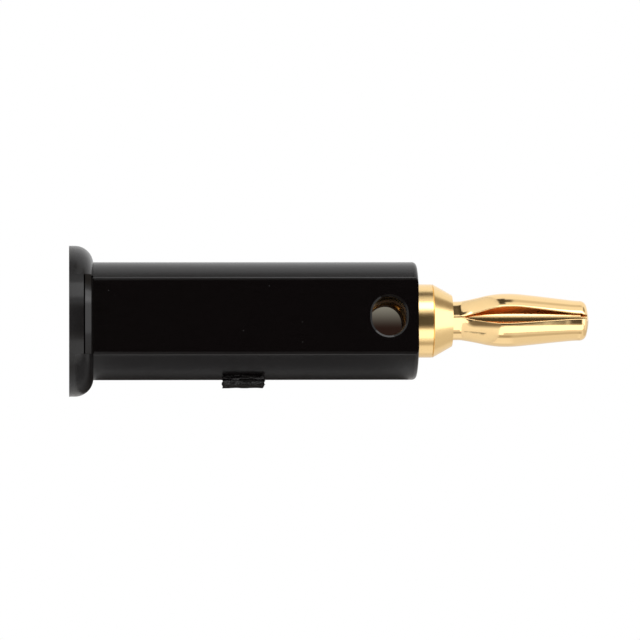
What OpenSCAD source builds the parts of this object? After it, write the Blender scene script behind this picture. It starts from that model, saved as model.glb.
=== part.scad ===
// Stackable banana plug with a screw-clamped cross hole for the wire.
// The plug stands on its rear face: the origin is the centre of that face and +Z runs to the tip.
// The flats face -Y and +Y, and the torn moulding gate is on the +X side.

/* [Insulating body] */
// Length of the moulded body, from its rear face to its front face
body_length = 29.74; // [26:0.05:40]
// Diameter over the two round sides
body_diameter = 10.1; // [9:0.1:12]
// Distance between the two flats
across_flats = 7.65; // [7:0.05:8.8]
// Rounding of the long edges where the flats meet the round sides
flat_edge_radius = 0.4; // [0.1:0.05:0.8]
// Rounding of the front edge of the round sides
front_edge_radius = 0.35; // [0.1:0.05:0.6]

/* [Rear flange] */
// Diameter of the flange
flange_diameter = 12.92; // [12:0.02:16]
// Straight part of the rim
flange_rim = 0.48; // [0.3:0.02:2]
// Quarter round from the rim up to the body
flange_round = 1.6; // [0.8:0.1:2]
// How far the slides of the mould reach past the edges of the flats
slide_margin = 0.1; // [0.05:0.05:0.4]
// Length of the straight pads that the slides of the mould leave on the rim
slide_pad_length = 1.24; // [0.6:0.02:1.6]
// How far the pads stand out from the rim
slide_step = 0.03; // [0.02:0.01:0.1]
// How much lower the flange is between the slides
slide_drop = 0.2; // [0.05:0.05:0.25]
// Width of the V groove between each pad and the tapered band in front of it
slide_groove_width = 0.12; // [0.06:0.02:0.2]
// Depth of that groove
slide_groove_depth = 0.3; // [0.1:0.05:0.5]
// How far the band tapers inwards towards the body
slide_band_taper = 0.25; // [0.1:0.05:0.5]

/* [Moulding gate] */
// Height of the middle of the torn gate above the rear face
gate_position = 14.9; // [8:0.1:20]
// Length of the gate along the body
gate_length = 3.45; // [1:0.05:5]
// Width of the gate around the body
gate_width = 2.9; // [1:0.1:4]
// How far the torn gate stands out from the round side
gate_height = 0.5; // [0.2:0.05:1.5]
// Number of torn layers in the gate
gate_layers = 5; // [3:1:9]

/* [Contact core] */
// Diameter of the turned core inside the body
core_diameter = 5.6; // [5.2:0.05:6]
// Diameter of the rear socket
socket_diameter = 4.2; // [4:0.05:4.6]
// Chamfer at the mouth of the socket
socket_chamfer = 0.3; // [0.1:0.05:0.5]
// Diameter of the collar that seats on the body's front face
collar_diameter = 6.3; // [6:0.05:6.8]
// Length of the straight part of the collar
collar_length = 1.43; // [0.8:0.01:3]
// Length of the cone in front of the collar
cone_length = 1.65; // [0.8:0.05:3]
// Diameter of the cone's front face
cone_tip_diameter = 4.42; // [3.6:0.02:5]
// Width of the fine groove turned where the collar meets the cone
crease_width = 0.1; // [0.04:0.02:0.3]
// Depth of that fine groove
crease_depth = 0.06; // [0.02:0.01:0.15]

/* [Retaining groove] */
// Height of the groove's lower side above the rear face
groove_position = 6.2; // [5:0.1:12]
// Length of the groove along the core
groove_length = 1.2; // [0.6:0.1:3]
// Depth of the groove
groove_depth = 0.25; // [0.1:0.05:0.4]

/* [Wire clamp] */
// Diameter of the cross hole for the wire in the core
wire_hole_diameter = 3; // [2:0.1:3.4]
// Draft of the cross hole in the moulding, which opens towards each flat
wire_hole_draft = 1; // [0.5:0.1:2]
// How much narrower the cross hole is in the moulding than in the core, all round
wire_hole_inset = 0.08; // [0.02:0.01:0.15]
// Width of the chamfer at the rim of the cross hole
wire_hole_edge = 0.15; // [0.05:0.01:0.2]
// Tilt of that chamfer from the flat
wire_hole_edge_tilt = 16; // [10:1:45]
// Distance of the cross hole's middle behind the body's front face
wire_hole_setback = 2.5; // [2.3:0.1:5]
// How much wider than high the cross hole is in the moulding
wire_hole_stretch = 0.43; // [0.1:0.01:0.8]
// Diameter of the clamp screw over its thread
screw_diameter = 3.4; // [2.4:0.1:3.6]
// Length of the clamp screw
screw_length = 5; // [3:0.1:7]
// Chamfer at both ends of the clamp screw
screw_chamfer = 0.3; // [0.1:0.05:0.6]
// Width of the screwdriver slot
slot_width = 0.6; // [0.4:0.05:1]
// Depth of the screwdriver slot
slot_depth = 0.8; // [0.4:0.05:1.5]
// How far the open screw stands behind the cross hole
wire_gap = 0.4; // [0.1:0.05:2]
// How far the threaded bore runs past the middle of the cross hole
bore_run_past = 1.2; // [0.8:0.1:1.3]
// Point angle of the drill that ends the threaded bore
drill_angle = 118; // [90:1:140]

/* [Contact spring] */
// Thickness of the spring sheet
spring_sheet = 0.2; // [0.1:0.01:0.3]
// Length of the spring from the cone's face to the head
spring_length = 11.56; // [10:0.02:14]
// Number of leaves
leaf_count = 3; // [3:1:6]
// Diameter at the root of the spring
root_diameter = 3.32; // [3:0.02:3.6]
// Straight length of the root
root_length = 0.5; // [0.2:0.05:1.6]
// Diameter at the crest of the leaves
crest_diameter = 4.58; // [4.2:0.02:5]
// Distance of the crest from the root
crest_position = 4.8; // [4:0.1:6]
// Bend radius where a leaf leaves the root
flare_bend = 2; // [1:0.1:4]
// Bend radius of a leaf at the crest
crest_bend = 9.3; // [6:0.1:12]
// Diameter where the leaves meet the nose
tip_diameter = 3.36; // [3:0.02:3.6]
// Bend radius of a leaf at the nose
nose_radius = 0.6; // [0.4:0.02:0.8]
// Angle from the axis's normal through which the nose turns inwards
nose_turn = 70; // [50:1:80]
// Width of a slit where the sheet lies closed
slit_width = 0.06; // [0.03:0.01:0.2]
// Length of the uncut ring at each end of the spring
end_ring = 0.45; // [0.4:0.05:0.8]
// Turn of the spring's seam from the middle of the flat
seam_turn = 3; // [0:1:10]

/* [Fits] */
// Gap around the core in the body, in the retaining groove and under the pin's head
core_clearance = 0.02; // [0.01:0.01:0.05]
// Gap around the clamp screw in its bore
thread_clearance = 0.03; // [0.01:0.01:0.08]
// Gap between the spring and the pin
pin_clearance = 0.04; // [0.02:0.01:0.1]
// Gap around the collar of a plug that is stacked in the recess
stack_clearance = 0.15; // [0.05:0.05:0.4]
// Room left in front of the tip of a stacked plug
stack_end_room = 0.52; // [0.2:0.02:2]

/* [Hidden] */
$fn = 96;

// Margin by which a cutting shape runs past the face that it opens
over = 1;

body_r = body_diameter / 2;
flange_r = flange_diameter / 2;
flat_y = across_flats / 2;
core_r = core_diameter / 2;
collar_r = collar_diameter / 2;
socket_r = socket_diameter / 2;
wire_hole_r = wire_hole_diameter / 2;
screw_r = screw_diameter / 2;

// The flats are as wide as the chord that they cut from the round section
flat_half_width = sqrt(body_r * body_r - flat_y * flat_y);
flange_top = flange_rim + flange_round;

// A stacked plug's collar and cone fill the rear recess
recess_r = collar_r + stack_clearance;
recess_depth = collar_length + cone_length;
bore_r = core_r + core_clearance;

// Stations along the contact
collar_end = body_length + collar_length;
cone_end = collar_end + cone_length;
spring_end = cone_end + spring_length;

// Wire clamp
wire_hole_z = body_length - wire_hole_setback;
thread_r = screw_r + thread_clearance;
thread_end = wire_hole_z + bore_run_past;
drill_point = thread_r / tan(drill_angle / 2);
screw_front = wire_hole_z - wire_hole_r - wire_gap;
screw_rear = screw_front - screw_length;

// Spring: a straight root, a concave bend, a straight flare, a convex crest, a taper and a round nose
root_r = root_diameter / 2;
crest_r = crest_diameter / 2;
tip_r = tip_diameter / 2;
crest_centre = [crest_r - crest_bend, crest_position];
flare_centre = [root_r + flare_bend, root_length];
nose_centre = [tip_r - nose_radius, spring_length - nose_radius * sin(nose_turn)];

// The flare is the line that touches the bend's circle inside and the crest's circle outside
flare_span = flare_centre - crest_centre;
flare_angle = -atan2(flare_span[1], flare_span[0]) - acos((crest_bend + flare_bend) / norm(flare_span));
flare_end = root_length + flare_bend * sin(flare_angle);
crest_start = crest_position - crest_bend * sin(flare_angle);
crest_start_r = crest_centre[0] + crest_bend * cos(flare_angle);

// The taper is the line that touches both the crest's circle and the nose's circle
taper_span = nose_centre - crest_centre;
taper_angle = atan2(taper_span[1], taper_span[0]) - acos((crest_bend - nose_radius) / norm(taper_span));
crest_end = crest_position + crest_bend * sin(taper_angle);
crest_end_r = crest_centre[0] + crest_bend * cos(taper_angle);

// The spring's lip is cut square to the sheet, which leaves a conical seat for the pin's head
lip_r = nose_centre[0] + nose_radius * cos(nose_turn);
seat_r = lip_r - spring_sheet * cos(nose_turn);
seat_start = spring_end - spring_sheet * sin(nose_turn);

// The pin fills the narrower end of the spring, and its tail passes through the spring's lip
pin_r = min(root_r, tip_r) - spring_sheet - pin_clearance;
tail_r = seat_r - core_clearance;
tail_start = cone_end + nose_centre[1];

// The head lies in the seat, and its dome carries on the curve of the nose
head_r = lip_r - core_clearance;
dome_r = head_r / cos(nose_turn);
head_top = spring_end + dome_r * (1 - sin(nose_turn));
tip_reach = head_top - cone_end;
socket_bottom = recess_depth + tip_reach + stack_end_room;

// How far a fillet's circle stands past the flat and the round side, so that it crosses them
fillet_lap = 0.008;

// Steps along the bends of the spring and along the edge of a leaf
flare_steps = 8;
crest_steps = 16;
nose_steps = 6;
edge_steps = 30;

// Smallest share of its full size that a torn layer keeps, and the turn that makes the shares uneven
layer_keep = 0.9;
uneven_turn = 137.5;

// Points on an arc, from one angle to another
function arc(centre, radius, from, to, steps) =
    [for (i = [0:steps]) centre + radius * [
        cos(from + (to - from) * i / steps),
        sin(from + (to - from) * i / steps)
    ]];

// One face of the spring sheet from root to lip, at a depth below the outer face
function sheet_face(depth) = concat(
    [[root_r - depth, 0]],
    arc(flare_centre, flare_bend + depth, 180, 180 - flare_angle, flare_steps),
    arc(crest_centre, crest_bend - depth, -flare_angle, taper_angle, crest_steps),
    arc(nose_centre, nose_radius - depth, taper_angle, nose_turn, nose_steps)
);

// Outer radius of the spring at a distance from the root, up to the nose
function leaf_r(s) =
    s < root_length ? root_r :
    s < flare_end ? root_r + flare_bend - sqrt(pow(flare_bend, 2) - pow(s - root_length, 2)) :
    s < crest_start ? crest_start_r - (crest_start - s) * tan(flare_angle) :
    s < crest_end ? crest_centre[0] + sqrt(pow(crest_bend, 2) - pow(s - crest_position, 2)) :
    crest_end_r - (s - crest_end) * tan(taper_angle);

// A leaf keeps its width, so the slit beside it opens as the spring grows in girth
function half_slit(s) =
    let (girth_growth = 2 * PI * (leaf_r(s) - root_r) / leaf_count)
    let (opening = max(slit_width, slit_width + girth_growth))
    leaf_r(s) * sin(opening / (2 * leaf_r(s)) * 180 / PI);

// Repeatable uneven share of its full size that a torn layer keeps
function kept(i) = layer_keep + (1 - layer_keep) * (1 + sin(i * uneven_turn)) / 2;

function reversed(list) = [for (i = [len(list) - 1:-1:0]) list[i]];

// Centre of a fillet whose circle just crosses both the flat and the round side
function fillet_centre() =
    let (inset = flat_edge_radius - fillet_lap)
    let (y = flat_y - inset)
    [sqrt(pow(body_r - inset, 2) - y * y), y];

// Corner that a fillet takes off: the part beyond the chord between its two ends, less its circle
module outside_fillet() {
    centre = fillet_centre();
    flat_end = [centre[0], flat_y];
    round_end = centre * body_r / norm(centre);
    chord = round_end - flat_end;
    outward = [-chord[1], chord[0]] * over / norm(chord);
    difference() {
        polygon([flat_end, round_end, round_end + outward, flat_end + outward]);
        translate(centre) circle(flat_edge_radius);
    }
}

module at_each_corner() {
    for (side = [0, 1], face = [0, 1])
        mirror([side, 0])
            mirror([0, face])
                children();
}

// Cross section of the body: a circle with two flats and filleted edges
module body_section() {
    difference() {
        intersection() {
            circle(body_r);
            square([body_diameter + over, across_flats], center = true);
        }
        at_each_corner() outside_fillet();
    }
}

// Half profile of the flange: a straight rim and a quarter round
module flange_profile() {
    inner = flange_r - flange_round;
    square([inner, flange_top]);
    square([flange_r, flange_rim]);
    translate([inner, flange_rim]) intersection() {
        circle(flange_round);
        square(flange_round);
    }
}

// Half profile of the flange where the slides form it: a straight pad, a V groove and a tapered band
module slide_profile() {
    pad_r = flange_r + slide_step;
    groove_r = pad_r - slide_groove_depth;
    band_start = slide_pad_length + slide_groove_width;
    band_r = flange_r - slide_step;
    top = flange_top - slide_drop;
    polygon([
        [0, 0], [pad_r, 0], [pad_r, slide_pad_length], [groove_r, slide_pad_length + slide_groove_width / 2],
        [band_r, band_start], [band_r - slide_band_taper, top], [0, top]
    ]);
}

// Zone that the slides of the mould form
module slide_zone() {
    half_width = flat_half_width + slide_margin;
    translate([-half_width, -flange_diameter, -over])
        cube([2 * half_width, 2 * flange_diameter, flange_top + 2 * over]);
}

// Round flange, slightly lower and stepped where the slides of the mould form it
module flange() {
    difference() {
        rotate_extrude() flange_profile();
        slide_zone();
    }
    intersection() {
        rotate_extrude() slide_profile();
        slide_zone();
    }
}

// Half profile of the front end, where the round sides curve in to the front face
module front_profile() {
    face_r = body_r - front_edge_radius;
    square([face_r, front_edge_radius]);
    translate([face_r, 0]) intersection() {
        circle(front_edge_radius);
        square(front_edge_radius);
    }
}

// Long stem of the body: the section runs to the front end, and there only its round sides curve in
module stem() {
    straight = body_length - front_edge_radius;
    linear_extrude(straight) body_section();
    translate([0, 0, straight]) intersection() {
        linear_extrude(front_edge_radius) body_section();
        rotate_extrude() front_profile();
    }
}

// Torn gate: rough layers of uneven length and width, each lapping into the one below it
module torn_gate() {
    root_x = sqrt(body_r * body_r - pow(gate_width / 2, 2)) - gate_height;
    layer = (body_r + gate_height - root_x) / gate_layers;
    lap = layer / 4;
    for (i = [0:gate_layers - 1]) {
        low = -gate_length / 2 * kept(i);
        high = gate_length / 2 * kept(i + 1);
        near = -gate_width / 2 * kept(i + 2);
        far = gate_width / 2 * kept(i + 3);
        ragged_low = low * kept(i + 4);
        ragged_high = high * kept(i + 5);
        outline = [[low, near], [ragged_low, 0], [low, far], [high, far], [ragged_high, 0], [high, near]];
        translate([root_x + i * layer - lap, 0, gate_position])
            rotate([0, 90, 0])
                mirror([1, 0, 0])
                    linear_extrude(layer + lap) polygon(outline);
    }
}

// Space for the core in the body: the rear recess, then the bore with its retaining ridge
module core_cavity() {
    ridge_r = bore_r - groove_depth;
    ridge_low = groove_position + core_clearance;
    ridge_high = groove_position + groove_length - core_clearance;
    rotate_extrude() polygon([
        [0, -over], [recess_r, -over], [recess_r, recess_depth], [bore_r, recess_depth],
        [bore_r, ridge_low], [ridge_r, ridge_low], [ridge_r, ridge_high], [bore_r, ridge_high],
        [bore_r, body_length + over], [0, body_length + over]
    ]);
}

// A cone stretched sideways, from one distance along its axis to another
module stretched_cone(from, to, from_r, to_r) {
    translate([0, 0, from]) {
        rotate([90, 0, 90])
            linear_extrude(wire_hole_stretch, center = true)
                polygon([[-from_r, 0], [from_r, 0], [to_r, to - from], [-to_r, to - from]]);
        for (side = [0, 1])
            mirror([side, 0, 0])
                translate([wire_hole_stretch / 2, 0, 0])
                    intersection() {
                        cylinder(h = to - from, r1 = from_r, r2 = to_r);
                        translate([0, -2 * to_r, 0]) cube([2 * to_r, 4 * to_r, to - from]);
                    }
    }
}

// Cross hole in the moulding: stretched around the body, drafted, and chamfered where it opens in each flat
module stretched_wire_hole() {
    slope = tan(wire_hole_draft);
    edge_depth = wire_hole_edge * tan(wire_hole_edge_tilt);
    rim_start = flat_y - edge_depth;
    start_r = wire_hole_r - wire_hole_inset;
    rim_r = start_r + rim_start * slope;
    mouth = flat_y + over;
    translate([0, 0, wire_hole_z])
        for (face = [0, 1])
            mirror([0, face, 0])
                rotate([90, 0, 0]) {
                    stretched_cone(0, mouth, start_r, start_r + mouth * slope);
                    stretched_cone(
                        rim_start - edge_depth, flat_y + edge_depth,
                        rim_r - wire_hole_edge, rim_r + 2 * wire_hole_edge
                    );
                }
}

module insulating_body() {
    color("#191617") difference() {
        union() {
            stem();
            flange();
            torn_gate();
        }
        core_cavity();
        stretched_wire_hole();
    }
}

// Turned outline of the core: socket end, groove, collar, cone, pin, tail and the conical part of the head
module core_turning() {
    groove_r = core_r - groove_depth;
    groove_end = groove_position + groove_length;
    rotate_extrude() polygon([
        [0, recess_depth], [core_r, recess_depth],
        [core_r, groove_position], [groove_r, groove_position], [groove_r, groove_end], [core_r, groove_end],
        [core_r, body_length], [collar_r, body_length], [collar_r, collar_end - crease_width],
        [collar_r - crease_depth, collar_end - crease_width / 2], [collar_r, collar_end],
        [cone_tip_diameter / 2, cone_end], [pin_r, cone_end],
        [pin_r, tail_start], [tail_r, tail_start], [tail_r, seat_start], [head_r, spring_end], [0, spring_end]
    ]);
}

// Domed end of the head
module pin_dome() {
    rotate_extrude() intersection() {
        translate([0, head_top - dome_r]) circle(dome_r);
        translate([0, spring_end]) square([head_r, head_top - spring_end]);
    }
}

// Rear socket with its chamfered mouth, and the threaded bore that runs on into the cross hole
module socket_and_bore() {
    mouth_r = socket_r + socket_chamfer;
    rotate_extrude() polygon([
        [0, recess_depth - over], [mouth_r, recess_depth - over], [mouth_r, recess_depth],
        [socket_r, recess_depth + socket_chamfer], [socket_r, socket_bottom],
        [thread_r, socket_bottom], [thread_r, thread_end], [0, thread_end + drill_point]
    ]);
}

module contact_core() {
    color("#d8b26a") difference() {
        union() {
            core_turning();
            pin_dome();
        }
        socket_and_bore();
        translate([0, 0, wire_hole_z])
            rotate([90, 0, 0])
                cylinder(h = core_diameter + over, r = wire_hole_r, center = true);
    }
}

// Opening between two leaves, from one distance along the spring to another
module leaf_slit(from, to) {
    edge = [for (i = [0:edge_steps]) from + (to - from) * i / edge_steps];
    right = [for (s = edge) [half_slit(s), s]];
    left = [for (s = edge) [-half_slit(s), s]];
    rotate([90, 0, 0])
        linear_extrude(crest_diameter)
            polygon(concat(right, reversed(left)));
}

// Cage of leaves rolled from one sheet: the seam near -Y is open from end to end
module contact_spring() {
    color("#e3c07a") translate([0, 0, cone_end]) rotate([0, 0, -seam_turn]) difference() {
        rotate_extrude() polygon(concat(sheet_face(0), reversed(sheet_face(spring_sheet))));
        leaf_slit(-slit_width, spring_length + slit_width);
        for (i = [1:leaf_count - 1])
            rotate([0, 0, i * 360 / leaf_count])
                leaf_slit(end_ring, spring_length - end_ring);
    }
}

// Set screw with chamfered ends and a screwdriver slot that faces the socket
module clamp_screw() {
    end_r = screw_r - screw_chamfer;
    color("#9a8a66") difference() {
        rotate_extrude() polygon([
            [0, screw_rear], [end_r, screw_rear], [screw_r, screw_rear + screw_chamfer],
            [screw_r, screw_front - screw_chamfer], [end_r, screw_front], [0, screw_front]
        ]);
        translate([-screw_diameter, -slot_width / 2, screw_rear - over])
            cube([2 * screw_diameter, slot_width, slot_depth + over]);
    }
}

insulating_body();
contact_core();
contact_spring();
clamp_screw();
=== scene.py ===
import math

import bmesh
import bpy
from mathutils import Matrix, Vector
from mathutils import noise as field


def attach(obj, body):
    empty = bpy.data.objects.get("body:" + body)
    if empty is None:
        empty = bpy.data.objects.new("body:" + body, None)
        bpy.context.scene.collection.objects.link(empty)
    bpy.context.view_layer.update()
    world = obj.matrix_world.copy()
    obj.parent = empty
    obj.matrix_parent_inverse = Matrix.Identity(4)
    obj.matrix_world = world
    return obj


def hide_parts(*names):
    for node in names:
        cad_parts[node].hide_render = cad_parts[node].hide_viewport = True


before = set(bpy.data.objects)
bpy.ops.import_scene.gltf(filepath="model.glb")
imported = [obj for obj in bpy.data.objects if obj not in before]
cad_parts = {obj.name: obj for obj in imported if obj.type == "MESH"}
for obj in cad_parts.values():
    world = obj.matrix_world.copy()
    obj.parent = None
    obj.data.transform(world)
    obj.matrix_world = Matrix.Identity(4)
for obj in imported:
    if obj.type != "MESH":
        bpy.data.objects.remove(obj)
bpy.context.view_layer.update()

MM = 0.001
scene = bpy.context.scene
scene.view_settings.view_transform = "Standard"

# Camera: level with the rear face and turned a little, with the plug lying across the picture
CAMERA_TURN = math.radians(6.75)
CAMERA_ROLL = math.radians(0.05)
CAMERA_REACH = 428 * MM
CAMERA_LENS = 281
SENSOR_WIDTH = 36
CLIP_START = 0.01
CLIP_END = 10
TARGET_HEIGHT = 21.5 * MM
AXIS_DROP = 0.09 * MM
to_camera = Vector((math.sin(CAMERA_TURN), -math.cos(CAMERA_TURN), 0))
image_up = Vector((-math.cos(CAMERA_TURN), -math.sin(CAMERA_TURN), 0))
along_plug = Vector((0, 0, 1))
camera_target = along_plug * TARGET_HEIGHT + image_up * AXIS_DROP


def add_camera():
    data = bpy.data.cameras.new("camera")
    data.lens = CAMERA_LENS
    data.sensor_width = SENSOR_WIDTH
    data.clip_start = CLIP_START
    data.clip_end = CLIP_END
    camera = bpy.data.objects.new("camera", data)
    place = camera_target + to_camera * CAMERA_REACH
    place.z = 0
    back = (place - camera_target).normalized()
    right = (along_plug - back * back.z).normalized()
    up = back.cross(right)
    turn = Matrix((right, up, back)).transposed().to_4x4()
    roll = Matrix.Rotation(-CAMERA_ROLL, 4, "Z")
    camera.matrix_world = Matrix.Translation(place) @ turn @ roll
    scene.collection.objects.link(camera)
    scene.camera = camera
    return place


camera_place = add_camera()


# Plain helpers
def clamp(x):
    return min(1.0, max(0.0, x))


def smooth(x, low, high):
    t = clamp((x - low) / (high - low))
    return t * t * (3 - 2 * t)


# Node helpers
def node(tree, kind, **settings):
    made = tree.nodes.new(kind)
    for key, value in settings.items():
        setattr(made, key, value)
    return made


def feed(tree, socket, value):
    """Give an input a link from another node, or a plain value or colour."""
    if isinstance(value, bpy.types.NodeSocket):
        tree.links.new(value, socket)
    elif socket.type == "RGBA":
        socket.default_value = (*value, 1)
    else:
        socket.default_value = value


def value_node(tree, op, *values):
    made = node(tree, "ShaderNodeMath", operation=op)
    for socket, value in zip(made.inputs, values):
        feed(tree, socket, value)
    return made.outputs[0]


def vector_node(tree, op, *vectors):
    made = node(tree, "ShaderNodeVectorMath", operation=op)
    for socket, vector in zip(made.inputs, vectors):
        feed(tree, socket, vector)
    return made.outputs["Vector" if op == "MULTIPLY" else "Value"]


def dot(tree, a, b):
    return vector_node(tree, "DOT_PRODUCT", a, b)


def smooth_step(tree, x, low, high, out_low=0.0, out_high=1.0):
    made = node(tree, "ShaderNodeMapRange", interpolation_type="SMOOTHSTEP")
    feed(tree, made.inputs["Value"], x)
    feed(tree, made.inputs["From Min"], low)
    feed(tree, made.inputs["From Max"], high)
    feed(tree, made.inputs["To Min"], out_low)
    feed(tree, made.inputs["To Max"], out_high)
    return made.outputs[0]


def mix_colour(tree, share, a, b):
    made = node(tree, "ShaderNodeMix", data_type="RGBA")
    for index, value in ((0, share), (6, a), (7, b)):
        feed(tree, made.inputs[index], value)
    return made.outputs[2]


def object_place(tree):
    return node(tree, "ShaderNodeTexCoord").outputs["Object"]


def millimetres(tree, scale=(1, 1, 1)):
    """Object coordinates in millimetres, stretched by scale."""
    return vector_node(tree, "MULTIPLY", object_place(tree), [s / MM for s in scale])


def split(tree, vector):
    made = node(tree, "ShaderNodeSeparateXYZ")
    feed(tree, made.inputs[0], vector)
    return made.outputs


def angle_round_axis(tree, vector):
    """Angle of a place or direction round the plug's axis, from the camera's side."""
    return value_node(tree, "ARCTAN2", dot(tree, vector, image_up), dot(tree, vector, to_camera))


def noise(tree, vector, scale, detail, roughness=0.5):
    made = node(tree, "ShaderNodeTexNoise")
    feed(tree, made.inputs["Vector"], vector)
    feed(tree, made.inputs["Scale"], scale)
    feed(tree, made.inputs["Detail"], detail)
    feed(tree, made.inputs["Roughness"], roughness)
    return made.outputs["Fac"]


def bump(tree, height, distance, strength, normal=None):
    made = node(tree, "ShaderNodeBump")
    feed(tree, made.inputs["Height"], height)
    feed(tree, made.inputs["Distance"], distance)
    feed(tree, made.inputs["Strength"], strength)
    if normal is not None:
        feed(tree, made.inputs["Normal"], normal)
    return made.outputs["Normal"]


def new_material(name):
    made = bpy.data.materials.new(name)
    made.use_nodes = True
    tree = made.node_tree
    return made, tree, tree.nodes["Principled BSDF"]


# Studio levels: degrees round the plug's axis from the camera's side, and the level there
CAMERA_SIDE_LEVELS = [
    (-180, 0.75), (-128, 0.75), (-118, 0.95), (-86, 0.95), (-80, 0.45), (-72, 0.45), (-66, 0.75),
    (-28, 0.75), (-21, 0.4), (-15, 0.06), (21, 0.04), (25, 0.3), (29, 1.0)]
LOW_LEVELS = CAMERA_SIDE_LEVELS + [(70, 1.0), (77, 0.08), (104, 0.06), (112, 1.0), (180, 1.0)]
SIDE_LEVELS = CAMERA_SIDE_LEVELS + [(81, 1.0), (88, 0.1), (98, 0.1), (107, 1.0), (180, 1.0)]
HALF_WAY_LEVELS = [
    (-180, 0.8), (-86, 0.84), (-80, 0.6), (-72, 0.6), (-66, 0.8), (-28, 0.8), (-21, 0.4),
    (-15, 0.1), (14, 0.08), (22, 0.5), (30, 0.95), (82, 0.98), (90, 0.7), (98, 0.7), (108, 1.0),
    (180, 1.0)]
FRONT_LEVELS = [
    (-180, 0.8), (-62, 0.84), (-35, 1.0), (80, 1.0), (90, 0.8), (98, 0.8), (108, 0.95), (180, 1.0)]
TIP_LEVELS = [
    (-180, 0.6), (-62, 0.72), (-35, 0.95), (64, 1.0), (73, 0.5), (80, 0.32), (104, 0.32),
    (114, 0.95), (180, 1.0)]
BEYOND_LEVELS = [(-180, 0.9), (180, 0.9)]

# Zones of rise along the axis over which one set of levels gives way to the next
ZONES = [
    (0.05, 0.066, SIDE_LEVELS), (0.1, 0.15, HALF_WAY_LEVELS), (0.3, 0.33, FRONT_LEVELS),
    (0.54, 0.6, TIP_LEVELS), (0.82, 0.88, BEYOND_LEVELS)]

# Levels up to WARM_BELOW have the full tint, and those from WHITE_FROM have none
WARM = (1.0, 0.9, 0.76)
WARM_BELOW = 0.3
WHITE_FROM = 0.9


def level_ramp(tree, share, stops):
    ramp = node(tree, "ShaderNodeValToRGB")
    elements = ramp.color_ramp.elements
    while len(elements) < len(stops):
        elements.new(1.0)
    for element, (degrees, level) in zip(elements, stops):
        element.position = degrees / 360 + 0.5
        cool = clamp((level - WARM_BELOW) / (WHITE_FROM - WARM_BELOW))
        element.color = (*[level * (w + (1 - w) * cool) for w in WARM], 1)
    feed(tree, ramp.inputs[0], share)
    return ramp.outputs[0]


# World
WHITE = (1, 1, 1)
WIRE_HOLE_HEIGHT = 27.24
HOLE_PATCH_ANGLE = 0.0042
HOLE_PATCH_FADE = 0.0004
HOLE_PATCH_LOW = -0.0016
HOLE_PATCH_HIGH = 0.0042
# The dark and grey colours are painted shadow: the shaded surface behind the plug, seen through
# the cross hole
HOLE_SHADOW_DARK = (0.022, 0.011, 0.008)
HOLE_SHADOW_GREY = (0.24, 0.225, 0.18)


def hole_shadow_patch(tree, direction):
    """White, with a patch of painted shadow in the direction of the cross hole: grey that darkens
    downwards.
    """
    hole = along_plug * WIRE_HOLE_HEIGHT * MM
    through = (hole - camera_place).normalized()
    patch_end = math.cos(HOLE_PATCH_ANGLE + HOLE_PATCH_FADE)
    near = smooth_step(tree, dot(tree, direction, through), patch_end, math.cos(HOLE_PATCH_ANGLE))
    height = value_node(tree, "SUBTRACT", dot(tree, direction, image_up), through.dot(image_up))
    lit = smooth_step(tree, height, HOLE_PATCH_LOW, HOLE_PATCH_HIGH)
    return mix_colour(tree, near, WHITE, mix_colour(tree, lit, HOLE_SHADOW_DARK, HOLE_SHADOW_GREY))


def add_world():
    """Pale studio for reflections, and white behind the plug for the camera, except for a painted
    shadow seen through the cross hole.
    """
    world = bpy.data.worlds.new("studio")
    scene.world = world
    world.use_nodes = True
    tree = world.node_tree
    back = tree.nodes["Background"]
    direction = node(tree, "ShaderNodeTexCoord").outputs["Generated"]
    angle = angle_round_axis(tree, direction)
    share = value_node(tree, "MULTIPLY_ADD", angle, 0.5 / math.pi, 0.5)
    rise = dot(tree, direction, along_plug)
    studio = level_ramp(tree, share, LOW_LEVELS)
    for low, high, levels in ZONES:
        reached = smooth_step(tree, rise, low, high)
        studio = mix_colour(tree, reached, studio, level_ramp(tree, share, levels))
    camera_ray = node(tree, "ShaderNodeLightPath").outputs["Is Camera Ray"]
    colour = mix_colour(tree, camera_ray, studio, hole_shadow_patch(tree, direction))
    feed(tree, back.inputs["Color"], colour)
    back.inputs["Strength"].default_value = 1


# Lamps: metres
LAMP_REACH = 0.5
TIP_LAMP_SIDE = (to_camera * 0.5 + image_up * 0.12 + along_plug * 0.86).normalized()
TIP_LAMP_WIDTH = 0.42
TIP_LAMP_LENGTH = 0.36
LOW_RADIANCE = 0.9
HIGH_RADIANCE = 2.0


def add_lamp(name, place, away, width, length, radiance):
    """A soft rectangular lamp that faces back along away, and that the camera doesn't see."""
    data = bpy.data.lights.new(name, "AREA")
    data.shape = "RECTANGLE"
    data.size = width
    data.size_y = length
    data.energy = radiance * math.pi * width * length
    lamp = bpy.data.objects.new(name, data)
    side = along_plug.cross(away).normalized()
    facing = Matrix((side, away.cross(side), away)).transposed().to_4x4()
    lamp.matrix_world = Matrix.Translation(place) @ facing
    lamp.visible_camera = False
    scene.collection.objects.link(lamp)


def add_strip(name, radiance, degrees, width_degrees, low, high):
    """A strip lamp at an angle round the plug's axis, from one height to another."""
    turn = math.radians(degrees)
    away = to_camera * math.cos(turn) + image_up * math.sin(turn)
    width = 2 * LAMP_REACH * math.tan(math.radians(width_degrees / 2))
    place = away * LAMP_REACH + along_plug * (low + high) / 2
    add_lamp(name, place, away, width, high - low, radiance)


add_world()
add_strip("softbox_high", HIGH_RADIANCE, degrees=49, width_degrees=24, low=-0.02, high=0.6)
add_strip("softbox_low", LOW_RADIANCE, degrees=-47, width_degrees=38, low=-0.01, high=0.05)
add_strip("softbox_low_front", LOW_RADIANCE, degrees=-41, width_degrees=31, low=0.05, high=0.5)
add_lamp("softbox_tip", TIP_LAMP_SIDE * LAMP_REACH, TIP_LAMP_SIDE, TIP_LAMP_WIDTH,
         TIP_LAMP_LENGTH, LOW_RADIANCE)


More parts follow.
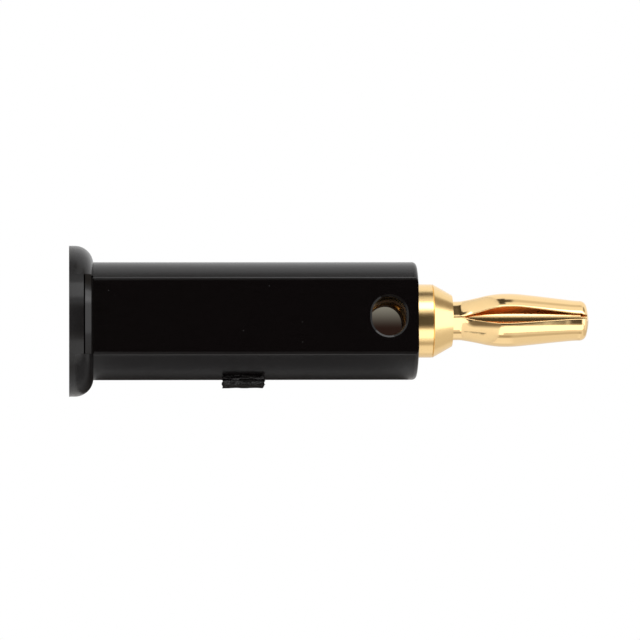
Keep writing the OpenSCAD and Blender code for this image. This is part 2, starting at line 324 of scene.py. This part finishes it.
def add_quad(name, corners, material):
    mesh = bpy.data.meshes.new(name)
    mesh.from_pydata(corners, [], [(0, 1, 2, 3)])
    mesh.materials.append(material)
    made = bpy.data.objects.new(name, mesh)
    scene.collection.objects.link(made)
    return made


# Floor: metres
FLOOR_REACH = 0.6
FLOOR_ROUGH = 0.7
FLOOR_PALE = (0.86, 0.86, 0.86)
# The wedge's dark colour is painted shade, which stands in for the dark round the camera in
# reflections
FLOOR_WEDGE_SHADE = (0.12, 0.1, 0.08)
WHITE_FLOOR = (0.05, 0.3)
WEDGE_START = (0.05, 0.08)
WEDGE_LOW = (math.radians(-42), math.radians(-22))
WEDGE_HIGH = (math.radians(18), math.radians(28))


def add_floor():
    """Pale floor, white far from the plug, with a wedge of painted shade that reflections see and
    the camera doesn't.
    """
    material, tree, shader = new_material("pale_floor")
    shader.inputs["Roughness"].default_value = FLOOR_ROUGH
    place = object_place(tree)
    angle = angle_round_axis(tree, place)
    distance = vector_node(tree, "LENGTH", place)
    camera_ray = node(tree, "ShaderNodeLightPath").outputs["Is Camera Ray"]
    wedge = value_node(tree, "SUBTRACT", 1.0, camera_ray)
    for limit in (smooth_step(tree, angle, *WEDGE_LOW),
                  smooth_step(tree, angle, *WEDGE_HIGH, 1.0, 0.0),
                  smooth_step(tree, distance, *WEDGE_START)):
        wedge = value_node(tree, "MULTIPLY", wedge, limit)
    # Reflections see the wedge dark: painted shade
    feed(tree, shader.inputs["Base Color"], mix_colour(tree, wedge, FLOOR_PALE, FLOOR_WEDGE_SHADE))
    far = smooth_step(tree, distance, *WHITE_FLOOR)
    glow = node(tree, "ShaderNodeEmission")
    mix = node(tree, "ShaderNodeMixShader")
    feed(tree, mix.inputs[0], value_node(tree, "MULTIPLY", far, camera_ray))
    feed(tree, mix.inputs[1], shader.outputs[0])
    feed(tree, mix.inputs[2], glow.outputs[0])
    feed(tree, tree.nodes["Material Output"].inputs["Surface"], mix.outputs[0])
    signs = ((-1, -1), (1, -1), (1, 1), (-1, 1))
    add_quad("floor", [(a * FLOOR_REACH, b * FLOOR_REACH, 0) for a, b in signs], material)


# Cards: millimetres
CARD_LOW = 2.2
CARD_HIGH = 29.5
CARD_NEAR = -9
CARD_BACK = 6.6
CARD_SIDE = 22
CARD_TOP = -5
CARD_ROUGH = 0.9
CARD_FADE = (6, 18)
# The cards' colours are painted shade: the shaded surface close behind the plug, darkest behind
# the body and paler further along X
CARD_SHADE = (0.05, 0.045, 0.04)
CARD_SOFT_SHADE = (0.4, 0.4, 0.4)


def add_cards():
    """Cards close behind the body and below it in the picture, for reflections only, coloured with
    painted shade.
    """
    material, tree, shader = new_material("painted_shade_card")
    shader.inputs["Roughness"].default_value = CARD_ROUGH
    shader.inputs["Specular IOR Level"].default_value = 0
    pale = smooth_step(tree, split(tree, millimetres(tree))["X"], *CARD_FADE)
    feed(tree, shader.inputs["Base Color"], mix_colour(tree, pale, CARD_SHADE, CARD_SOFT_SHADE))
    low = CARD_LOW * MM
    high = CARD_HIGH * MM
    edges = [(x * MM, y * MM) for x, y in
             ((CARD_TOP, CARD_BACK), (CARD_SIDE, CARD_BACK), (CARD_SIDE, CARD_NEAR))]
    for i, (a, b) in enumerate(zip(edges, edges[1:])):
        corners = [(*a, low), (*b, low), (*b, high), (*a, high)]
        card = add_quad("card_%d" % i, corners, material)
        card.visible_camera = False
        card.visible_diffuse = False
        card.visible_shadow = False


add_floor()
add_cards()

# Nylon: millimetres
FLANGE_STEP = (2.0, 2.2)
FLANGE_FLAT_EDGE = 3.42
BODY_FLAT_EDGE = 3.06
EDGE_FADE = 0.05
PAD_TOP = (1.95, 2.1)
PAD_ROUGH = 0.12
POLISHED_ROUGH = 0.03
SATIN_ROUGH = 0.2
SCUFF_ROUGH = 0.05
SCUFF_STRETCH = (3, 3, 0.25)
POLISHED_GRAIN = 0.03
GRAIN_DEPTH = 0.006
NYLON_IOR = 1.43
NYLON_DARK = (0.0016, 0.0010, 0.0012)
NYLON_LIGHT = (0.0030, 0.0022, 0.0024)
DUST_DENSITY = 0.5
DUST_SIZE = (0.016, 0.03)
DUST_GREY = (0.06, 0.06, 0.06)


def nylon():
    """Black moulding: polished where slides of the mould formed it, satin on the round sides."""
    material, tree, shader = new_material("black_nylon")
    shader.inputs["IOR"].default_value = NYLON_IOR
    place = millimetres(tree)
    x, _, z = split(tree, place)[:]
    edge = smooth_step(tree, z, *FLANGE_STEP, FLANGE_FLAT_EDGE, BODY_FLAT_EDGE)
    past_edge = value_node(tree, "SUBTRACT", value_node(tree, "ABSOLUTE", x), edge)
    satin = smooth_step(tree, past_edge, -EDGE_FADE, EDGE_FADE)
    scuff = noise(tree, millimetres(tree, SCUFF_STRETCH), scale=2.5, detail=4, roughness=0.6)
    pads = smooth_step(tree, z, *PAD_TOP, PAD_ROUGH, 0.0)
    rough = value_node(tree, "MULTIPLY_ADD", satin, SATIN_ROUGH, POLISHED_ROUGH)
    rough = value_node(tree, "MAXIMUM", rough, pads)
    rough = value_node(tree, "MULTIPLY_ADD", scuff, SCUFF_ROUGH, rough)
    feed(tree, shader.inputs["Roughness"], rough)
    dust = node(tree, "ShaderNodeTexVoronoi")
    feed(tree, dust.inputs["Vector"], place)
    feed(tree, dust.inputs["Scale"], DUST_DENSITY)
    speck = smooth_step(tree, dust.outputs["Distance"], *DUST_SIZE, 1.0, 0.0)
    tone = mix_colour(tree, scuff, NYLON_DARK, NYLON_LIGHT)
    feed(tree, shader.inputs["Base Color"], mix_colour(tree, speck, tone, DUST_GREY))
    grain = noise(tree, place, scale=14, detail=3)
    share = value_node(tree, "MULTIPLY_ADD", satin, 1 - POLISHED_GRAIN, POLISHED_GRAIN)
    height = value_node(tree, "MULTIPLY", grain, share)
    feed(tree, shader.inputs["Normal"], bump(tree, height, GRAIN_DEPTH * MM, strength=0.6))
    return material


# Gold: millimetres
SPRING_BASE = 32.82
PALER = 1.06
CLOUD_ROUGH = 0.05
INSIDE_FADE = (-0.6, -0.2)
INSIDE_ROUGH = 0.25
DRILL_FADE = (1.55, 1.6)
DRILLED_ROUGH = 0.45
PIN_FADE = 0.1
PIN_ROUGH = -0.06
GRIT_DEPTH = 0.0008
MARK_STRENGTH = 0.5


def faces_inwards(tree, place):
    """Share by which a face looks towards the plug's axis."""
    outward = vector_node(tree, "MULTIPLY", place, (1, 1, 0))
    normal = node(tree, "ShaderNodeNewGeometry").outputs["True Normal"]
    return smooth_step(tree, dot(tree, outward, normal), *INSIDE_FADE, 1.0, 0.0)


def in_wire_hole(tree, x, z):
    """Share by which a place lies within the wall of the cross hole."""
    up = value_node(tree, "SUBTRACT", z, WIRE_HOLE_HEIGHT)
    squares = value_node(tree, "MULTIPLY_ADD", x, x, value_node(tree, "MULTIPLY", up, up))
    return smooth_step(tree, value_node(tree, "SQRT", squares), *DRILL_FADE, 1.0, 0.0)


def gold(name, tint, rough, ring_depth, stretch, inside=None, hole_wall_shade=None):
    """Gold plating with fine marks, and duller inside faces of a given colour; the drilled walls
    of the cross hole are rougher, and darkened by a colour of painted shade.
    """
    material, tree, shader = new_material(name)
    shader.inputs["Metallic"].default_value = 1
    place = millimetres(tree)
    cloud = noise(tree, place, scale=1.6, detail=3)
    roughness = value_node(tree, "MULTIPLY_ADD", cloud, CLOUD_ROUGH, rough)
    colour = mix_colour(tree, cloud, tint, [min(1, t * PALER) for t in tint])
    if inside:
        inner = faces_inwards(tree, place)
        colour = mix_colour(tree, inner, colour, inside)
        roughness = value_node(tree, "MULTIPLY_ADD", inner, INSIDE_ROUGH, roughness)
    if hole_wall_shade:
        x, _, z = split(tree, place)[:]
        wall = in_wire_hole(tree, x, z)
        # Painted shade: the cross hole's walls take a darker colour
        colour = mix_colour(tree, wall, colour, hole_wall_shade)
        roughness = value_node(tree, "MULTIPLY_ADD", wall, DRILLED_ROUGH, roughness)
        pin = smooth_step(tree, z, SPRING_BASE, SPRING_BASE + PIN_FADE)
        roughness = value_node(tree, "MULTIPLY_ADD", pin, PIN_ROUGH, roughness)
    feed(tree, shader.inputs["Roughness"], roughness)
    feed(tree, shader.inputs["Base Color"], colour)
    grit = noise(tree, place, scale=22, detail=2)
    rings = noise(tree, millimetres(tree, stretch), scale=16, detail=3, roughness=0.6)
    fine = bump(tree, grit, GRIT_DEPTH * MM, MARK_STRENGTH)
    marks = bump(tree, rings, ring_depth * MM, MARK_STRENGTH, fine)
    feed(tree, shader.inputs["Normal"], marks)
    return material


# Steel
STEEL_DARK = (0.42, 0.42, 0.43)
STEEL_LIGHT = (0.56, 0.56, 0.57)
STEEL_ROUGH = 0.25
STEEL_CLOUD_ROUGH = 0.2


def steel():
    material, tree, shader = new_material("screw_steel")
    shader.inputs["Metallic"].default_value = 1
    cloud = noise(tree, millimetres(tree), scale=3, detail=3)
    feed(tree, shader.inputs["Base Color"], mix_colour(tree, cloud, STEEL_DARK, STEEL_LIGHT))
    rough = value_node(tree, "MULTIPLY_ADD", cloud, STEEL_CLOUD_ROUGH, STEEL_ROUGH)
    feed(tree, shader.inputs["Roughness"], rough)
    return material


def dress(name, material):
    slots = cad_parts[name].data.materials
    slots.clear()
    slots.append(material)


black_nylon = nylon()
screw_steel = steel()
# The brass's darker brown is painted shade on the walls of the cross hole
plated_brass = gold("plated_brass", (0.98, 0.68, 0.32), rough=0.15, ring_depth=0.006,
                    stretch=(0.15, 0.15, 1), hole_wall_shade=(0.3, 0.19, 0.11))
plated_spring = gold("plated_spring", (1.0, 0.69, 0.34), rough=0.05, ring_depth=0.001,
                     stretch=(1, 1, 0.15), inside=(0.95, 0.44, 0.2))
dress("insulating_body", black_nylon)
dress("contact_core", plated_brass)


# Pieces
SHARP_EDGE = math.radians(50)


def finish_piece(name, bm, material, body):
    mesh = bpy.data.meshes.new(name)
    bm.to_mesh(mesh)
    bm.free()
    mesh.polygons.foreach_set("use_smooth", [True] * len(mesh.polygons))
    mesh.set_sharp_from_angle(angle=SHARP_EDGE)
    mesh.materials.append(material)
    piece = bpy.data.objects.new(name, mesh)
    scene.collection.objects.link(piece)
    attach(piece, body)
    return piece


# Torn gate: millimetres
GATE_ROOT = 4.2
GATE_FACE = 5.64
GATE_HALF_WIDTH = 1.56
GATE_MIDDLE = 14.9
GATE_HALF_LENGTH = 1.7
GATE_CUTS = 47
GASH_NOISE = (4.6, 0.4, 0.6)
GASH_SHIFT = (0.7, 0, 3)
FRAY_NOISE = (11, 1.5, 2.5)
RAGGED_NOISE = (5, 1.2, 1)
RAGGED_SHIFT = (0, 0, 7)
GASH_START = -0.02
GASH_FULL = 0.28
GASH_SHARE = 0.8
GASH_PULL = 0.3
FACE_PULL = 0.05
RAGGED_END = 0.16
END_TRIM = 0.04
ON_FACE = 0.999


def noise_at(place, scale, shift=(0, 0, 0)):
    return field.noise(Vector([p * s + t for p, s, t in zip(place, scale, shift)]))


def torn(place):
    """How far the tear has pulled a point back, from 0 to 1: gashes that run along the plug."""
    layer = noise_at(place, GASH_NOISE, GASH_SHIFT)
    fine = noise_at(place, FRAY_NOISE)
    gash = smooth(layer, GASH_START, GASH_FULL)
    return GASH_SHARE * gash + (1 - GASH_SHARE) * (fine + 0.5)


def add_gate():
    """Block of torn layers over the stub of the moulding gate."""
    bm = bmesh.new()
    bmesh.ops.create_cube(bm, size=2)
    bmesh.ops.subdivide_edges(bm, edges=bm.edges[:], cuts=GATE_CUTS, use_grid_fill=True)
    middle_x = (GATE_ROOT + GATE_FACE) / 2
    half_x = (GATE_FACE - GATE_ROOT) / 2
    for vert in bm.verts:
        u, v, w = vert.co
        place = Vector((middle_x + u * half_x, v * GATE_HALF_WIDTH,
                        GATE_MIDDLE + w * GATE_HALF_LENGTH))
        pull = torn(place)
        ragged = noise_at((place.x, place.y, w), RAGGED_NOISE, RAGGED_SHIFT)
        if abs(v) > ON_FACE:
            place.y -= math.copysign(pull * GASH_PULL, v)
        if u > ON_FACE:
            place.x -= pull * FACE_PULL
        if abs(w) > ON_FACE:
            place.z += math.copysign(RAGGED_END * ragged - END_TRIM, w)
        vert.co = place * MM
    finish_piece("gate_tear", bm, black_nylon, "plug")


add_gate()

# Contact spring: millimetres, with the stations' distance from the root and outer radius
SHEET = 0.2
SPRING_STATIONS = [
    (0, 1.66), (0.55, 1.66), (1.25, 1.755), (2.2, 1.945), (3.1, 2.145), (4, 2.265), (4.75, 2.29),
    (5.6, 2.26), (6.6, 2.16), (7.6, 2.05), (8.6, 1.935), (9.6, 1.825), (10.4, 1.74), (11, 1.71)]
LAST_STATION = len(SPRING_STATIONS) - 1
SPRING_LENGTH = 11.56
SPRING_ROWS = 110
SLOPE_STEP = 0.01
BOW = 0.06
NOSE_RADIUS = 0.6
NOSE_TURN = math.radians(70)
NOSE_ROWS = 12
LEAVES = 3
LEAF_COLUMNS = 24
LEAF_TAPER = 0.027
SLIT = 0.06
SLIT_START = 0.45
SLIT_END = 11.1
SLIT_START_ROUND = 0.12
SLIT_END_ROUND = 0.25
SEAM_TURN = 3.4
SEAM_SWING = 3.2
SEAM_SWING_SPAN = (0.5, 6)
EDGE_ROUND = 0.07
EDGE_STOPS = [0, 0.006, 0.02, 0.042, EDGE_ROUND]
FLAT_REACH = math.radians(34)
FLAT_FADE = (0.6, 1.9)
SAME_PLACE = 1e-8


def station_slope(k):
    """Slope of the radius at a station: none at the straight root and at the nose."""
    if k in (0, 1, LAST_STATION):
        return 0
    (a, ra), (b, rb) = SPRING_STATIONS[k - 1], SPRING_STATIONS[k + 1]
    return (rb - ra) / (b - a)


def spring_r(u):
    """Outer radius at a distance from the root: a smooth curve through the stations."""
    last = LAST_STATION - 1
    i = next((k for k in range(last) if u <= SPRING_STATIONS[k + 1][0]), last)
    (a, ra), (b, rb) = SPRING_STATIONS[i], SPRING_STATIONS[i + 1]
    span = b - a
    t = (u - a) / span
    return (ra * (1 + 2 * t) * (1 - t) ** 2 + station_slope(i) * span * t * (1 - t) ** 2
            + rb * t * t * (3 - 2 * t) + station_slope(i + 1) * span * t * t * (t - 1))


def spring_rows():
    """Radius, distance from the root, and outward normal of each row of the outer face."""
    rows = []
    end, end_r = SPRING_STATIONS[-1]
    for k in range(SPRING_ROWS):
        u = end * k / SPRING_ROWS
        below = max(0, u - SLOPE_STEP)
        above = u + SLOPE_STEP
        slope = (spring_r(above) - spring_r(below)) / (above - below)
        size = math.hypot(1, slope)
        rows.append((spring_r(u), u, 1 / size, -slope / size))
    for k in range(NOSE_ROWS + 1):
        a = NOSE_TURN * k / NOSE_ROWS
        out, up = math.cos(a), math.sin(a)
        rows.append((end_r - NOSE_RADIUS + NOSE_RADIUS * out, end + NOSE_RADIUS * up, out, up))
    return rows


def slit_half_angle(r, u, seam):
    """Half of a slit's angle: leaves keep their width as the girth grows, and narrow forwards."""
    root = SPRING_STATIONS[0][1]
    opening = SLIT + max(0.0, 2 * math.pi * (r - root) / LEAVES) + LEAF_TAPER * u
    if not seam:
        if u < SLIT_START or u > SLIT_END:
            return 0.0
        opening *= min(1.0, (u - SLIT_START) / SLIT_START_ROUND) ** 0.5
        opening *= min(1.0, (SLIT_END - u) / SLIT_END_ROUND) ** 0.5
    return opening / (2 * r)


def seam_angle(u):
    """Turn of the seam's middle from -Y towards -X."""
    return math.radians(SEAM_TURN + SEAM_SWING * smooth(u, *SEAM_SWING_SPAN))


def leaf_point(angle, r, flat):
    """Place and outward direction, where the sheet's ends beside the seam are flat by a share."""
    away = abs(angle)
    out = Vector((math.sin(angle), math.cos(angle)))
    place = out * r
    if away < FLAT_REACH and flat > 0:
        side = math.copysign(1, angle)
        run = r * (math.sin(FLAT_REACH) - math.sin(away)) / math.cos(FLAT_REACH)
        ahead = r * math.cos(FLAT_REACH) + run * math.sin(FLAT_REACH)
        straight = Vector((side * r * math.sin(away), ahead))
        facing = Vector((side * math.sin(FLAT_REACH), math.cos(FLAT_REACH)))
        place = place.lerp(straight, flat)
        out = out.lerp(facing, flat).normalized()
    return place, out


def leaf_stops(width):
    """Distances across a leaf at which it has points: close together at its rounded edges."""
    inner = width - 2 * EDGE_ROUND
    middle = [EDGE_ROUND + inner * k / LEAF_COLUMNS for k in range(1, LEAF_COLUMNS)]
    return EDGE_STOPS + middle + [width - d for d in reversed(EDGE_STOPS)]


def edge_dip(near):
    """Depth of the rounding at a distance from a leaf's edge."""
    if near >= EDGE_ROUND:
        return 0.0
    return EDGE_ROUND - math.sqrt(EDGE_ROUND ** 2 - (EDGE_ROUND - near) ** 2)


def beside_seam(x, outer_x):
    """Sideways place of a point near the seam: on its own side, and clear of the other."""
    own_side = abs(x) if x * outer_x > 0 else 0
    return math.copysign(max(own_side, SLIT / 2), outer_x)


def add_leaf_points(bm, row, leaf, gaps):
    """Points of one leaf's outer and inner faces in a row."""
    r, u, normal_r, normal_z = row
    flat = 1 - smooth(u, *FLAT_FADE)
    turn = seam_angle(u)
    side = Vector((-math.cos(turn), math.sin(turn)))
    front = Vector((-math.sin(turn), -math.cos(turn)))
    start = 2 * math.pi * leaf / LEAVES + gaps[leaf]
    width = r * (2 * math.pi / LEAVES - gaps[leaf] - gaps[leaf + 1])
    faces = ([], [])
    for d in leaf_stops(width):
        slit_opens = gaps[leaf if d < width / 2 else leaf + 1] > 0
        dip = edge_dip(min(d, width - d)) if slit_opens else 0.0
        angle = start + d / r
        place, out = leaf_point(angle if angle <= math.pi else angle - 2 * math.pi, r, flat)
        for face, depth in zip(faces, (dip, SHEET - dip)):
            spot = place - out * (normal_r * depth)
            if flat > 0 and abs(place.x) < FLAT_REACH * r:
                spot.x = beside_seam(spot.x, place.x)
            level = side * spot.x + front * spot.y
            level.x -= BOW * math.sin(math.pi * u / SPRING_LENGTH)
            height = SPRING_BASE + u - normal_z * depth
            face.append(bm.verts.new(Vector((level.x, level.y, height)) * MM))
    return faces


def join_leaf(bm, low, high, open_edges):
    """Faces of a leaf between two rows, with walls along the edges that are open."""
    (outer, inner), (outer_up, inner_up) = low, high
    for k in range(len(outer) - 1):
        bm.faces.new((outer[k], outer_up[k], outer_up[k + 1], outer[k + 1]))
        bm.faces.new((inner[k], inner[k + 1], inner_up[k + 1], inner_up[k]))
    for k in open_edges:
        bm.faces.new((outer[k], inner[k], inner_up[k], outer_up[k]))


def close_leaf(bm, leaf):
    """Faces across the sheet's thickness at the end of a leaf."""
    outer, inner = leaf
    for k in range(len(outer) - 1):
        bm.faces.new((outer[k], outer[k + 1], inner[k + 1], inner[k]))


def add_spring():
    """Leaves rolled from one sheet: the seam is open, and the other slits end in rings."""
    bm = bmesh.new()
    rows = []
    for row in spring_rows():
        r, u = row[:2]
        gaps = [slit_half_angle(r, u, k % LEAVES == 0) for k in range(LEAVES + 1)]
        rows.append(([add_leaf_points(bm, row, leaf, gaps) for leaf in range(LEAVES)], gaps))
    for (low, low_gaps), (high, high_gaps) in zip(rows, rows[1:]):
        for leaf in range(LEAVES):
            open_edges = [k for slit, k in ((leaf, 0), (leaf + 1, -1))
                          if low_gaps[slit] > 0 or high_gaps[slit] > 0]
            join_leaf(bm, low[leaf], high[leaf], open_edges)
    for leaves, _ in (rows[0], rows[-1]):
        for leaf in leaves:
            close_leaf(bm, leaf)
    bmesh.ops.remove_doubles(bm, verts=bm.verts[:], dist=SAME_PLACE)
    bmesh.ops.recalc_face_normals(bm, faces=bm.faces[:])
    spring = finish_piece("rolled_spring", bm, plated_spring, "plug")
    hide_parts("contact_spring")


add_spring()

# Clamp screw: millimetres
SCREW_LOW = 20.34
SCREW_HIGH = 25.34
SCREW_R = 1.69
SCREW_CHAMFER = 0.3
SCREW_STEPS = 64
SCREW_ROWS = 126
THREAD_DEPTH = 0.28
THREAD_PITCH = 0.6
RIDGE_PEAK = 1.25
RIDGE_SLOPE = 3
SLOT_WIDTH = 0.6
SLOT_DEPTH = 0.8
CUTTER_LENGTH = 4 * SCREW_R
CUTTER_BELOW = 1


def thread_r(turn, height):
    """Radius of the threaded surface: V ridges with flat crests that die out in the chamfers."""
    phase = (height / THREAD_PITCH - turn) % 1
    ridge = clamp(RIDGE_PEAK - abs(phase - 0.5) * RIDGE_SLOPE)
    end = min(height - SCREW_LOW, SCREW_HIGH - height)
    return min(SCREW_R - THREAD_DEPTH * (1 - ridge), SCREW_R - SCREW_CHAMFER + end)


def threaded_rod():
    bm = bmesh.new()
    rings = []
    for row in range(SCREW_ROWS + 1):
        height = SCREW_LOW + (SCREW_HIGH - SCREW_LOW) * row / SCREW_ROWS
        ring = []
        for step in range(SCREW_STEPS):
            angle = 2 * math.pi * step / SCREW_STEPS
            r = thread_r(step / SCREW_STEPS, height)
            place = Vector((r * math.cos(angle), r * math.sin(angle), height))
            ring.append(bm.verts.new(place * MM))
        rings.append(ring)
    for low, high in zip(rings, rings[1:]):
        for i in range(SCREW_STEPS):
            k = (i + 1) % SCREW_STEPS
            bm.faces.new((low[i], low[k], high[k], high[i]))
    bm.faces.new(rings[0][::-1])
    bm.faces.new(rings[-1])
    return bm


def slot_cutter():
    bm = bmesh.new()
    bmesh.ops.create_cube(bm, size=1)
    for vert in bm.verts:
        vert.co.x *= CUTTER_LENGTH * MM
        vert.co.y *= SLOT_WIDTH * MM
        vert.co.z = (SCREW_LOW + (SLOT_DEPTH if vert.co.z > 0 else -CUTTER_BELOW)) * MM
    mesh = bpy.data.meshes.new("slot_cutter")
    bm.to_mesh(mesh)
    bm.free()
    cutter = bpy.data.objects.new("slot_cutter", mesh)
    scene.collection.objects.link(cutter)
    return cutter


def add_screw():
    """Set screw with a real thread and a slot that faces the socket."""
    screw = finish_piece("threaded_screw", threaded_rod(), screw_steel, "screw")
    cutter = slot_cutter()
    cut = screw.modifiers.new("slot", "BOOLEAN")
    cut.operation = "DIFFERENCE"
    cut.solver = "EXACT"
    cut.object = cutter
    shaped = screw.evaluated_get(bpy.context.evaluated_depsgraph_get())
    mesh = bpy.data.meshes.new_from_object(shaped)
    screw.modifiers.clear()
    screw.data = mesh
    bpy.data.objects.remove(cutter)
    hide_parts("clamp_screw")


add_screw()
